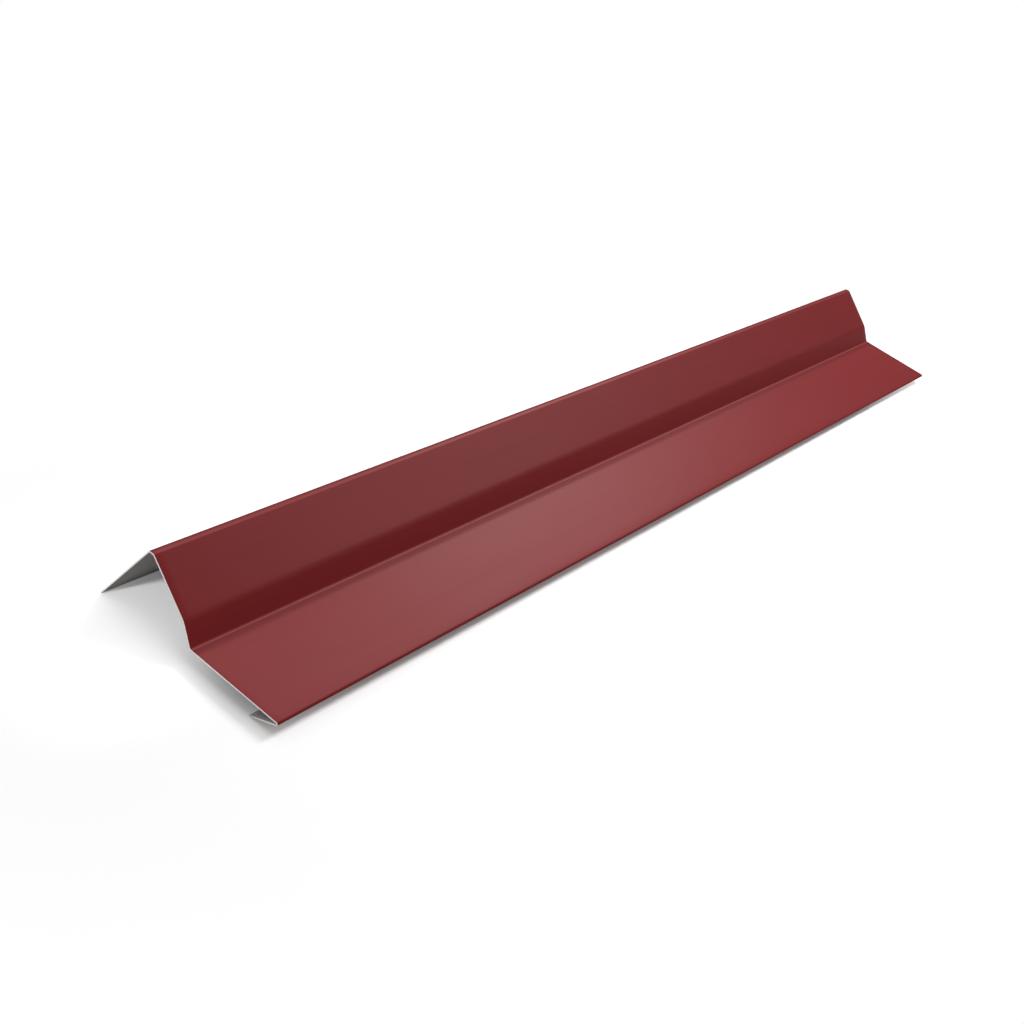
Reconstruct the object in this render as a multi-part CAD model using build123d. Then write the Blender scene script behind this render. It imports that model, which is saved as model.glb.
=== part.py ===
from build123d import *
import os
from math import atan2, degrees

# Roof hip cap: one strip of coated sheet metal, folded lengthwise on a press brake.
# All sizes in mm and degrees. X runs along the cap, -Y is the flange side, +Z is up.
# The part is stored as it lies on a level floor: on the free edge of the lip and on the
# edge of the back leg. The origin is the bottom centre of the part.

# The strip
length = 2000.0
sheet_thickness = 2.0

# Flat widths across the strip, from one bend line to the next
lip_width = 40.0
flange_width = 137.0
step_width = 26.0
slope_width = 75.5
crown_width = 5.0
back_leg_width = 109.5

# How far each bend turns the sheet
hem_turn = 157.0
valley_turn = 53.5
knee_turn = 16.5
front_crown_turn = 37.0
back_crown_turn = 62.0

# Inside radius of each bend. The knee is a soft roll, the others are pressed sharp.
hem_radius = 0.5
valley_radius = 3.0
knee_radius = 36.0
front_crown_radius = 1.0
back_crown_radius = 2.0


def flat(start, direction, width):
    """A flat of the strip that carries on from the last bend."""
    return Line(start, start + direction.normalized() * width)


# The painted face, walked from the lip over the crown to the back leg, with the flange level.
# Left turns are the inside of a bend here and right turns are the outside.
with BuildPart() as strip:
    with BuildSketch(Plane.YZ):
        with BuildLine():
            lip = flat(Vector(0, 0), Vector(1, 0).rotate(Axis.Z, hem_turn), lip_width)
            hem = JernArc(lip @ 1, lip % 1, hem_radius + sheet_thickness, -hem_turn)
            flange = flat(hem @ 1, hem % 1, flange_width)
            valley = JernArc(flange @ 1, flange % 1, valley_radius, valley_turn)
            step = flat(valley @ 1, valley % 1, step_width)
            knee = JernArc(step @ 1, step % 1, knee_radius + sheet_thickness, -knee_turn)
            slope = flat(knee @ 1, knee % 1, slope_width)
            front_crown = JernArc(
                slope @ 1, slope % 1, front_crown_radius + sheet_thickness, -front_crown_turn
            )
            crown = flat(front_crown @ 1, front_crown % 1, crown_width)
            back_crown = JernArc(
                crown @ 1, crown % 1, back_crown_radius + sheet_thickness, -back_crown_turn
            )
            back_leg = flat(back_crown @ 1, back_crown % 1, back_leg_width)
            offset(amount=sheet_thickness, side=Side.RIGHT, closed=True)
        make_face()
    extrude(amount=length / 2, both=True)

# The two lower edges that the cap lies on: the lip's painted corner, and the inner corner
# of the back leg. Turning their line level gives the resting attitude.
lip_foot = lip @ 0
leg_end = back_leg @ 1
leg_foot = leg_end + (back_leg % 1).rotate(Axis.Z, -90) * sheet_thickness
rest_turn = degrees(atan2(leg_foot.Y - lip_foot.Y, leg_foot.X - lip_foot.X))

resting = Rot(X=-rest_turn) * strip.part
bounds = resting.bounding_box()
folded_sheet = Pos(Y=-bounds.center().Y, Z=-bounds.min.Z) * resting
folded_sheet.label = "folded_sheet"

os.makedirs("parts", exist_ok=True)
export_step(folded_sheet, "parts/folded_sheet.step")
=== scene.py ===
from math import atan2, cos, radians, sin

import bpy
from mathutils import Matrix, Vector


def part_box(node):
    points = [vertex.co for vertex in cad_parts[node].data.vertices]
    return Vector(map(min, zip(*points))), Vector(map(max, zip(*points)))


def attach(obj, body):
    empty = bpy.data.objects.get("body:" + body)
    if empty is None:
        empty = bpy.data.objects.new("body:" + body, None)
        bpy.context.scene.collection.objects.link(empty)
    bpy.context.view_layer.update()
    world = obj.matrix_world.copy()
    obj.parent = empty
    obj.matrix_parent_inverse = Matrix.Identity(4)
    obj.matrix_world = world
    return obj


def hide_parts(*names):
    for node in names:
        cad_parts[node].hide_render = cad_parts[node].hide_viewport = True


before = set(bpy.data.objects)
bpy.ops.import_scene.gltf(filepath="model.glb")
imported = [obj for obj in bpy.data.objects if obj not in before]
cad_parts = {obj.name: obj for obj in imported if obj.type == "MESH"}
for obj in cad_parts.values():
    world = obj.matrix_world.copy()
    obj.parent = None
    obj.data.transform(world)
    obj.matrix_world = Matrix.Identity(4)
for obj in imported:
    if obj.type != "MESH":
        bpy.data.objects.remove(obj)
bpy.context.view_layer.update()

# ROOF HIP CAP, RED COATED SHEET
# Metres. X runs along the cap, -Y is the flange side, +Z is up, the floor is at z = 0.

NODE = "folded_sheet"
node_low, node_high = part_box(NODE)
LENGTH = node_high.x - node_low.x
SHEET = 0.002
WAVINESS = 0.0004
SHEAR_ROLL_OVER = 0.0002

# Flats across the strip, from the lip over the crown to the back leg.
FLATS = {
    "lip": 0.040,
    "flange": 0.137,
    "step": 0.026,
    "slope": 0.0755,
    "crown": 0.005,
    "back leg": 0.1095,
}

# Bends between the flats: the turn in degrees, left turns positive, and the inside radius.
BENDS = {
    "hem": (-157.0, 0.0005),
    "valley": (53.5, 0.003),
    "knee": (-16.5, 0.036),
    "front crown": (-37.0, 0.001),
    "back crown": (-62.0, 0.002),
}


def face_radius(bend):
    """Radius of a bend on the painted face, which is outside the right turns."""
    turn, inside = BENDS[bend]
    return inside if turn > 0 else inside + SHEET


def face_arc(bend):
    """Length of a bend along the painted face."""
    return face_radius(bend) * abs(radians(BENDS[bend][0]))


def strip_zones():
    """Flats and bends in turn, each with its width on the painted face."""
    zones = []
    for flat, bend in zip(FLATS, [*BENDS, None]):
        zones.append((flat, FLATS[flat]))
        if bend:
            zones.append((bend, face_arc(bend)))
    return zones


def starts_at(name):
    """Where a flat or bend starts on the flat strip, measured from the lip's edge."""
    start = 0.0
    for zone, width in strip_zones():
        if zone == name:
            return start
        start += width


def resting_turn():
    """Turn about X that lays the folded strip, started level at its lip, on its two feet."""
    point, heading = 0j, 0.0
    for flat, bend in zip(FLATS, [*BENDS, None]):
        point += FLATS[flat] * complex(cos(heading), sin(heading))
        if bend:
            turn, radius = radians(BENDS[bend][0]), face_radius(bend)
            side = 1 if turn > 0 else -1
            centre = point + side * radius * complex(-sin(heading), cos(heading))
            point = centre + (point - centre) * complex(cos(turn), sin(turn))
            heading += turn
    foot = point + SHEET * complex(sin(heading), -cos(heading))
    return -atan2(foot.imag, foot.real)


# NODE TREES


class Wire:
    """An output of a node. Arithmetic on wires adds Math nodes to the same tree."""

    def __init__(self, tree, socket):
        self.tree = tree
        self.socket = socket

    @staticmethod
    def fill(node, inputs):
        """Links wires to a node's inputs, and sets plain values on the others."""
        for name, value in inputs.items():
            if isinstance(value, Wire):
                value.tree.links.new(value.socket, node.inputs[name])
            else:
                node.inputs[name].default_value = value

    @staticmethod
    def node(tree, kind, settings=None, inputs=None, out=0):
        """Adds a node, sets it up, fills its inputs and gives one of its outputs."""
        made = tree.nodes.new(kind)
        for name, value in (settings or {}).items():
            setattr(made, name, value)
        Wire.fill(made, inputs or {})
        return Wire(tree, made.outputs[out])

    def math(self, operation, *others):
        """One Math node on this wire and any other values."""
        values = dict(enumerate((self, *others)))
        return Wire.node(self.tree, "ShaderNodeMath", {"operation": operation}, values)

    def __add__(self, other):
        return self.math("ADD", other)

    __radd__ = __add__

    def __sub__(self, other):
        return self.math("SUBTRACT", other)

    def __rsub__(self, other):
        return (self * -1.0) + other

    def __mul__(self, other):
        return self.math("MULTIPLY", other)

    __rmul__ = __mul__

    def __truediv__(self, other):
        return self.math("DIVIDE", other)

    def above(self, edge, soft):
        """0 below an edge, 1 above it, over a soft width."""
        ends = {"From Min": edge - soft, "From Max": edge + soft}
        return Wire.node(
            self.tree,
            "ShaderNodeMapRange",
            {"interpolation_type": "SMOOTHSTEP"},
            {"Value": self, **ends},
        )

    def near(self, place, reach):
        """1 at a place, falling to 0 at its reach on either side."""
        return 1.0 - ((self - place).math("ABSOLUTE") / reach).math("MINIMUM", 1.0)

    def parts(self):
        """The three numbers of a vector."""
        split = self.tree.nodes.new("ShaderNodeSeparateXYZ")
        self.tree.links.new(self.socket, split.inputs[0])
        return [Wire(self.tree, out) for out in split.outputs]


def joined(x, y, z):
    """A vector from three numbers, at least one of them a wire."""
    tree = next(v.tree for v in (x, y, z) if isinstance(v, Wire))
    return Wire.node(tree, "ShaderNodeCombineXYZ", None, {"X": x, "Y": y, "Z": z})


def blended(factor, first, second):
    """A colour between two others."""
    return Wire.node(
        factor.tree,
        "ShaderNodeMix",
        {"data_type": "RGBA"},
        {0: factor, 6: first, 7: second},
        out=2,
    )


def noise(place, scale, detail=2.0, roughness=0.5):
    """Even noise from 0 to 1 at a place."""
    return Wire.node(
        place.tree,
        "ShaderNodeTexNoise",
        None,
        {"Vector": place, "Scale": scale, "Detail": detail, "Roughness": roughness},
    )


def stretched_noise(along, across, lengthwise, crosswise, detail, roughness=0.5):
    """Noise on the strip with its own scale along the cap and across it."""
    place = joined(along * lengthwise, across * crosswise, 0.0)
    return noise(place, 1.0, detail, roughness)


# FINISHES


def new_finish(name):
    """A material with its Principled shader, the strip's flat coordinates and the cap's own."""
    material = bpy.data.materials.new(name)
    material.use_nodes = True
    tree = material.node_tree
    shader = tree.nodes["Principled BSDF"]
    strip = Wire.node(tree, "ShaderNodeUVMap", {"uv_map": "strip"})
    space = Wire.node(tree, "ShaderNodeTexCoord", out="Object")
    return material, shader, strip, space


def bumped(height, depth, strength):
    """A normal raised by a height of 0 to 1 times a depth in metres."""
    inputs = {"Height": height, "Distance": depth, "Strength": strength}
    return Wire.node(height.tree, "ShaderNodeBump", None, inputs)


WINE_RED = (0.240, 0.0160, 0.0180, 1.0)
WINE_RED_DEEP = (0.220, 0.0141, 0.0160, 1.0)
# Pale red painted as a highlight along the front crown and valley bends.
WINE_RED_PAINTED_HIGHLIGHT = (0.360, 0.075, 0.072, 1.0)
# Darker red painted as shade beside the valley, on the hem and on the back crown.
WINE_RED_PAINTED_SHADE = (0.175, 0.0120, 0.0135, 1.0)
BARE_METAL = (0.72, 0.71, 0.69, 1.0)
TORN_METAL = (0.50, 0.49, 0.47, 1.0)
PRIMER_GREY = (0.176, 0.154, 0.150, 1.0)
PRIMER_GREY_THIN = (0.214, 0.193, 0.188, 1.0)
# Paler grey painted as light inside the lip, where the hem shades it.
PRIMER_GREY_PAINTED_LIGHT = (0.400, 0.370, 0.360, 1.0)

COATING_SATIN = 0.43
COATING_SHINE = 0.16
PRIMER_MATT = 0.58
SHEARED_SATIN = 0.34

PEEL_DEPTH = 0.00005
PRIMER_DEPTH = 0.00006
TEAR_DEPTH = 0.0001

# Reach across the strip of the die mark by the valley and the marks on the hem and back crown,
# rougher and darkened there as painted shade, and the reach and strength of the pale lines painted
# as highlights.
DIE_MARK_AND_SHADE = 0.011
DIE_MARK_AND_SHADE_FADE = 0.004
DIE_EDGE = 0.0005
DIE_EDGE_FADE = 0.001
CROWN_RUB_AND_SHADE = 0.0046
HEM_RUB_AND_SHADE = 0.0050
CROWN_HIGHLIGHT_REACH = 0.0014
CROWN_HIGHLIGHT_STRENGTH = 0.35
VALLEY_HIGHLIGHT_REACH = 0.0020
VALLEY_HIGHLIGHT_STRENGTH = 1.25


def place_on(bend, share):
    """A place part of the way round a bend, on the flat strip."""
    return starts_at(bend) + face_arc(bend) * share


def brake_marks_and_painted_light(across):
    """Masks across the strip: beside the valley and on the hem and the back crown the coating is
    made rougher and darkened as painted shade; on the front crown and along the valley pale lines
    are painted as highlights."""
    valley = starts_at("valley")
    die_mark_and_shade = across.above(valley - DIE_MARK_AND_SHADE, DIE_MARK_AND_SHADE_FADE)
    die_mark_and_shade = die_mark_and_shade - across.above(valley + DIE_EDGE, DIE_EDGE_FADE)
    rubbed_and_shade = across.near(place_on("back crown", 0.45), CROWN_RUB_AND_SHADE)
    rubbed_and_shade = rubbed_and_shade + across.near(place_on("hem", 0.4), HEM_RUB_AND_SHADE)
    painted_highlight = across.near(place_on("front crown", 0.5), CROWN_HIGHLIGHT_REACH) * CROWN_HIGHLIGHT_STRENGTH
    painted_highlight = painted_highlight + across.near(valley - DIE_EDGE, VALLEY_HIGHLIGHT_REACH) * VALLEY_HIGHLIGHT_STRENGTH
    return die_mark_and_shade, rubbed_and_shade, painted_highlight


def red_coating():
    """Satin coil coating: fine grain and soft roller streaks, rougher marks from the press brake
    darkened as painted shade, and pale lines painted as highlights on the bends.
    """
    material, shader, strip, space = new_finish("wine red coating")
    along, across, _ = strip.parts()
    streaks = stretched_noise(along, across, 0.5, 90.0, detail=3.0)
    cloud = stretched_noise(along, across, 2.2, 9.0, detail=2.0)
    crazing = stretched_noise(along, across, 500.0, 1500.0, detail=3.0)
    grain = noise(space, 1400.0, detail=2.0)
    peel = noise(space, 210.0, detail=1.0)
    die_mark_and_shade, rubbed_and_shade, painted_highlight = brake_marks_and_painted_light(across)

    tone = (streaks * 0.45 + cloud * 0.55).above(0.5, 0.28)
    colour = blended(tone, WINE_RED_DEEP, WINE_RED)
    # Painted shade: the flange is darkened beside the valley, where the step wall shades and
    # darkens it; the same strip is also made rougher.
    colour = blended(die_mark_and_shade * 0.8, colour, WINE_RED_PAINTED_SHADE)
    # Painted shade: the hem bend and the back crown bend are darkened, and they are also made
    # rougher.
    colour = blended((rubbed_and_shade * 1.6).math("MINIMUM", 1.0) * 0.9, colour, WINE_RED_PAINTED_SHADE)
    # Painted highlight: pale lines along the front crown and the valley bend, broken up by fine
    # crazing.
    colour = blended(painted_highlight * (crazing * 0.7 + 0.3), colour, WINE_RED_PAINTED_HIGHLIGHT)
    uneven = (grain - 0.5) * 0.10 + (cloud - 0.5) * 0.06
    Wire.fill(
        shader,
        {
            "Base Color": colour,
            "Roughness": COATING_SATIN + uneven + die_mark_and_shade * 0.12 + rubbed_and_shade * 0.4,
            "Specular IOR Level": COATING_SHINE,
            "Normal": bumped(grain * 0.6 + peel, PEEL_DEPTH, strength=0.35),
        },
    )
    return material


def grey_primer():
    """Thin matt coat on the underside, rolled on unevenly, and made paler inside the lip as
    painted light against the hem's shade.
    """
    material, shader, strip, space = new_finish("grey primer")
    along, across, _ = strip.parts()
    roller = stretched_noise(along, across, 1.5, 220.0, detail=4.0)
    mottle = stretched_noise(along, across, 60.0, 60.0, detail=4.0, roughness=0.6)
    grain = noise(space, 900.0, detail=2.0)
    thin = (roller * 0.5 + mottle * 0.5).above(0.52, 0.16)
    # Painted light: the primer inside the lip is made paler, lifting the hem's shade there.
    lip = 1.0 - across.above(starts_at("hem"), 0.004)
    rolled = blended(thin, PRIMER_GREY, PRIMER_GREY_THIN)
    Wire.fill(
        shader,
        {
            "Base Color": blended(lip, rolled, PRIMER_GREY_PAINTED_LIGHT),
            "Roughness": PRIMER_MATT + (mottle - 0.5) * 0.16,
            "Normal": bumped(grain + roller * 0.4, PRIMER_DEPTH, strength=0.4),
        },
    )
    return material


def cut_edge():
    """Sheared metal: a smooth burnished band at the top, torn metal below."""
    material, shader, _, space = new_finish("cut edge")
    named = {"attribute_name": "depth"}
    depth = Wire.node(material.node_tree, "ShaderNodeAttribute", named, out="Fac")
    tearing = noise(space, 2600.0, detail=3.0)
    torn = (depth + (tearing - 0.5) * 0.2).above(0.4, 0.08)
    Wire.fill(
        shader,
        {
            "Base Color": blended(tearing * 0.5 + torn * 0.2, BARE_METAL, TORN_METAL),
            "Metallic": 0.9,
            "Roughness": SHEARED_SATIN + torn * 0.2,
            "Normal": bumped(tearing * torn, TEAR_DEPTH, strength=0.5),
        },
    )
    return material


# THE FOLDED SHEET


def new_tree(name, inputs):
    """A geometry tree with named inputs, and each input as a wire."""
    tree = bpy.data.node_groups.new(name, "GeometryNodeTree")
    tree.interface.new_socket("Geometry", in_out="OUTPUT", socket_type="NodeSocketGeometry")
    for label, kind in inputs.items():
        tree.interface.new_socket(label, in_out="INPUT", socket_type="NodeSocket" + kind)
    entry = tree.nodes.new("NodeGroupInput")
    return tree, {label: Wire(tree, entry.outputs[label]) for label in inputs}


def position_in(tree):
    """The place of each point."""
    return Wire.node(tree, "GeometryNodeInputPosition")


def moved(geometry, position):
    """Puts every point at a position."""
    inputs = {"Geometry": geometry, "Position": position}
    return Wire.node(geometry.tree, "GeometryNodeSetPosition", None, inputs)


def turned_about_x(tree, inputs):
    """A vector turned about the X axis."""
    return Wire.node(tree, "ShaderNodeVectorRotate", {"rotation_type": "X_AXIS"}, inputs)


def stored(geometry, name, value, data_type="FLOAT", domain="POINT"):
    """Keeps a value on the mesh under a name."""
    return Wire.node(
        geometry.tree,
        "GeometryNodeStoreNamedAttribute",
        {"data_type": data_type, "domain": domain},
        {"Geometry": geometry, "Name": name, "Value": value},
    )


def recalled(tree, name):
    """A number kept on the mesh."""
    inputs = {"Name": name}
    return Wire.node(tree, "GeometryNodeInputNamedAttribute", {"data_type": "FLOAT"}, inputs)


def flat_strip(tree, given, zones):
    """The strip before it is folded, with its thickness, each zone in its own columns."""
    columns = given["Columns per zone"] * float(len(zones))
    block = Wire.node(
        tree,
        "GeometryNodeMeshCube",
        None,
        {
            "Size": (1.0, 1.0, 1.0),
            "Vertices X": given["Rows"],
            "Vertices Y": columns + 1.0,
            "Vertices Z": 4,
        },
    )
    x, y, z = position_in(tree).parts()
    facing = Wire.node(tree, "GeometryNodeInputNormal").parts()[2]
    column = (y + 0.5) * columns
    across = 0.0
    for place, (name, _) in enumerate(zones):
        share = column / given["Columns per zone"] - float(place)
        across = given[f"{name} width"] * share.math("MAXIMUM", 0.0).math("MINIMUM", 1.0) + across
    along = x * given["Length"]

    sheet = stored(block, "facing", facing, domain="FACE")
    sheet = stored(sheet, "depth", 0.5 - z)
    sheet = stored(sheet, "across", across)
    kept = recalled(tree, "across")
    ripple = noise(joined(along * 2.6, kept * 7.0, 3.7), 1.0, detail=1.0) - 0.5
    thick = recalled(tree, "depth") * given["Sheet"]
    sheet = moved(sheet, joined(along, kept, ripple * given["Waviness"] - thick))
    x, y, _ = position_in(tree).parts()
    return stored(sheet, "strip", joined(x, y, 0.0), "FLOAT2", "CORNER")


def press(geometry, start, turn, radius):
    """One stroke of the press brake: all that lies past a bend's start is rolled round it."""
    tree = geometry.tree
    side = turn.math("SIGN")
    arc = radius * turn.math("ABSOLUTE")
    done = ((recalled(tree, "across") - start) / arc).math("MAXIMUM", 0.0).math("MINIMUM", 1.0)
    x, y, z = position_in(tree).parts()
    rolled = turned_about_x(
        tree,
        {
            "Vector": joined(x, y - arc * done, z),
            "Center": joined(0.0, start, radius * side),
            "Angle": turn * done,
        },
    )
    return moved(geometry, rolled)


def laid_down(sheet, given):
    """The folded strip turned onto its two feet and set down at its lowest corner."""
    tree = sheet.tree
    turn = {"Vector": position_in(tree), "Angle": given["Resting turn"]}
    sheet = moved(sheet, turned_about_x(tree, turn))
    lowest = Wire.node(tree, "GeometryNodeBoundBox", None, {"Geometry": sheet}, out="Min")
    put = {"operation": "SUBTRACT"}
    shift = Wire.node(tree, "ShaderNodeVectorMath", put, {0: given["Lowest corner"], 1: lowest})
    place = {"Geometry": sheet, "Translation": shift}
    return Wire.node(tree, "GeometryNodeTransform", None, place)


def coated(sheet, given):
    """Paint on the upper face of the strip, primer on the lower one, bare metal on its edges."""
    tree = sheet.tree
    facing = recalled(tree, "facing")
    painted = facing.math("GREATER_THAN", 0.5)
    under = facing.math("LESS_THAN", -0.5)
    for finish, where in (("Cut", True), ("Painted", painted), ("Underside", under)):
        inputs = {"Geometry": sheet, "Selection": where, "Material": given[finish]}
        sheet = Wire.node(tree, "GeometryNodeSetMaterial", None, inputs)
    return sheet


def sheet_tree():
    """Flat strip with its thickness, folded bend by bend and laid down on its two feet."""
    zones = strip_zones()
    inputs = {"Length": "Float", "Sheet": "Float", "Rows": "Int", "Columns per zone": "Int"}
    inputs |= {f"{name} width": "Float" for name, _ in zones}
    inputs |= {f"{name} turn": "Float" for name in BENDS}
    inputs |= {f"{name} radius": "Float" for name in BENDS}
    inputs |= {"Waviness": "Float", "Resting turn": "Float", "Lowest corner": "Vector"}
    inputs |= {"Painted": "Material", "Underside": "Material", "Cut": "Material"}
    tree, given = new_tree("folded sheet", inputs)

    starts = {}
    start = 0.0
    for name, _ in zones:
        starts[name] = start
        start = given[f"{name} width"] + start
    sheet = flat_strip(tree, given, zones)
    for bend in reversed(BENDS):
        sheet = press(sheet, starts[bend], given[f"{bend} turn"], given[f"{bend} radius"])
    sheet = laid_down(sheet, given)
    sheet = Wire.node(tree, "GeometryNodeRealizeInstances", None, {"Geometry": sheet})
    sheet = coated(sheet, given)
    exit_node = tree.nodes.new("NodeGroupOutput")
    tree.links.new(sheet.socket, exit_node.inputs[0])
    return tree


def folded_sheet():
    """The cap's sheet as a plain mesh that stands for the CAD node."""
    carrier = bpy.data.objects.new("folding", bpy.data.meshes.new("folding"))
    bpy.context.collection.objects.link(carrier)
    brake = carrier.modifiers.new("press brake", "NODES")
    brake.node_group = sheet_tree()
    values = {
        "Length": LENGTH,
        "Sheet": SHEET,
        "Rows": 161,
        "Columns per zone": 10,
        "Waviness": WAVINESS,
        "Resting turn": resting_turn(),
        "Lowest corner": node_low,
        "Painted": red_coating(),
        "Underside": grey_primer(),
        "Cut": cut_edge(),
    }
    values |= {f"{name} width": width for name, width in strip_zones()}
    values |= {f"{name} turn": radians(turn) for name, (turn, _) in BENDS.items()}
    values |= {f"{name} radius": face_radius(name) for name in BENDS}
    for item in brake.node_group.interface.items_tree:
        if item.in_out == "INPUT":
            brake[item.identifier] = values[item.name]
    shear = carrier.modifiers.new("shear roll-over", "BEVEL")
    shear.width = SHEAR_ROLL_OVER
    shear.segments = 2
    shear.limit_method = "ANGLE"
    shear.angle_limit = radians(60)

    graph = bpy.context.evaluated_depsgraph_get()
    mesh = bpy.data.meshes.new_from_object(carrier.evaluated_get(graph))
    mesh.name = "cap_sheet"
    mesh.shade_smooth()
    mesh.set_sharp_from_angle(angle=radians(30))
    bpy.data.objects.remove(carrier)
    sheet = bpy.data.objects.new("cap_sheet", mesh)
    bpy.context.collection.objects.link(sheet)
    return sheet


cap = folded_sheet()
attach(cap, "root")
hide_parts(NODE)

# STAGE

# The oval round the cap in which the floor shows its shadow, and how much white lies over it.
SHADOW_MIDDLE = -0.1
SHADOW_REACH = (1.12, 0.44)
SHADOW_FADE = 0.3
SHADOW_LIFT = 0.08

# The floor is darker to the light that it throws back at the cap than to the camera.
FLOOR_SEEN = (0.90, 0.90, 0.90, 1.0)
FLOOR_THROWN = (0.46, 0.46, 0.46, 1.0)
FLOOR_HALF = 30.0

# The sky's light low down and overhead, and the height at which one fades into the other.
SKY_SIDE = 0.045
SKY_TOP = 0.60
SKY_HEIGHT = 0.45
SKY_FADE = 0.55

WHITE = (1.0, 1.0, 1.0, 1.0)


def white_floor():
    """A large white floor that shows the cap's shadow. Away from the cap it is plain white."""
    half = FLOOR_HALF
    corners = [(-half, -half, 0), (half, -half, 0), (half, half, 0), (-half, half, 0)]
    mesh = bpy.data.meshes.new("floor")
    mesh.from_pydata(corners, [], [(0, 1, 2, 3)])
    floor = bpy.data.objects.new("floor", mesh)
    bpy.context.collection.objects.link(floor)
    material = bpy.data.materials.new("white floor")
    material.use_nodes = True
    tree = material.node_tree
    shader = tree.nodes["Principled BSDF"]
    x, y, _ = Wire.node(tree, "ShaderNodeTexCoord", out="Object").parts()
    x, y = (x - SHADOW_MIDDLE) / SHADOW_REACH[0], y / SHADOW_REACH[1]
    away = (x * x + y * y).math("SQRT").above(1.0, SHADOW_FADE)
    plain = away * (1.0 - SHADOW_LIFT) + SHADOW_LIFT
    ray = tree.nodes.new("ShaderNodeLightPath")
    seen = Wire(tree, ray.outputs["Is Camera Ray"]) + Wire(tree, ray.outputs["Is Glossy Ray"])
    seen = seen.math("MINIMUM", 1.0)
    Wire.fill(
        shader,
        {
            "Base Color": blended(seen, FLOOR_THROWN, FLOOR_SEEN),
            "Roughness": 1.0,
            "Specular IOR Level": 0.0,
        },
    )
    glow = Wire.node(tree, "ShaderNodeEmission", None, {"Color": WHITE, "Strength": 1.0})
    lit = Wire(tree, shader.outputs[0])
    mix = Wire.node(tree, "ShaderNodeMixShader", None, {0: plain * seen, 1: lit, 2: glow})
    tree.links.new(mix.socket, tree.nodes["Material Output"].inputs["Surface"])
    mesh.materials.append(material)
    return floor


def aimed(name, data, place, target, roll=0.0):
    """Puts a lamp or the camera at a place, looking at a target, rolled about its sight line."""
    thing = bpy.data.objects.new(name, data)
    bpy.context.collection.objects.link(thing)
    look = (Vector(target) - Vector(place)).to_track_quat("-Z", "Y").to_matrix()
    turned = look @ Matrix.Rotation(roll, 3, "Z")
    thing.matrix_world = Matrix.Translation(place) @ turned.to_4x4()
    return thing


def soft_box(name, only, place, target, width, height, watts, spread=180):
    """A flat soft lamp that faces its target and is masked off to fall on one thing only."""
    lamp = bpy.data.lights.new(name, "AREA")
    lamp.shape = "RECTANGLE"
    lamp.size, lamp.size_y = width, height
    lamp.energy = watts
    lamp.spread = radians(spread)
    mask = bpy.data.collections.new(name + " falls on")
    mask.objects.link(only)
    aimed(name, lamp, place, target).light_linking.receiver_collection = mask


def studio_sky():
    """Light from all round, brighter overhead than low down, and plain white to the camera."""
    world = bpy.data.worlds.new("studio")
    world.use_nodes = True
    tree = world.node_tree
    upward = Wire.node(tree, "ShaderNodeTexCoord", out="Generated").parts()[2]
    level = upward.above(SKY_HEIGHT, SKY_FADE) * (SKY_TOP - SKY_SIDE) + SKY_SIDE
    seen = Wire.node(tree, "ShaderNodeLightPath", out="Is Camera Ray")
    strength = level * (1.0 - seen) + seen
    Wire.fill(tree.nodes["Background"], {"Color": WHITE, "Strength": strength})
    bpy.context.scene.world = world


def soft_light(floor):
    """On the cap: a key box behind, a small box on top, two sheen boxes past the far end and a low
    fill at the near end. On the floor: two washes from overhead and one into the near opening."""
    middle = (0.0, 0.0, 0.0)
    soft_box("key", cap, (-0.2, 1.5, 1.65), (-0.2, 0.0, 0.0), 1.9, 0.95, 19.5)
    soft_box("top", cap, (-0.1, 0.45, 1.4), (-0.1, 0.0, 0.05), 0.8, 0.5, 3.0)
    soft_box("flange sheen", cap, (2.25, 1.15, 1.92), middle, 0.9, 0.8, 20.5)
    soft_box("slope sheen", cap, (2.15, -1.2, 2.05), middle, 0.9, 0.8, 17.0)
    soft_box("near fill", cap, (-2.1, 0.25, 0.35), (-1.0, 0.05, 0.0), 0.9, 0.5, 5.0)
    soft_box("floor wash", floor, (0.6, -0.35, 2.6), (0.6, -0.25, 0.0), 4.6, 1.2, 45.0)
    soft_box("end wash", floor, (1.8, -0.35, 2.6), (1.8, -0.3, 0.0), 1.9, 0.9, 86.0)
    soft_box("opening wash", floor, (-2.0, 0.08, 0.5), (-0.9, 0.13, 0.0), 0.3, 0.2, 0.21, 9)
    studio_sky()


# The camera is rolled because it looks at the cap as if it were tipped forward on its lip.
CAMERA_PLACE = (-2.11479, -0.83143, 1.12729)
CAMERA_TARGET = (-1.32983, -0.46419, 0.62832)
CAMERA_ROLL = radians(21.97)
CAMERA_LENS = 54.038


def photo_camera():
    """The camera that the main picture is taken with."""
    camera = bpy.data.cameras.new("camera")
    camera.sensor_width = 36.0
    camera.lens = CAMERA_LENS
    camera.clip_end = 200.0
    placed = aimed("camera", camera, CAMERA_PLACE, CAMERA_TARGET, CAMERA_ROLL)
    bpy.context.scene.camera = placed


soft_light(white_floor())
photo_camera()
bpy.context.scene.view_settings.view_transform = "Standard"
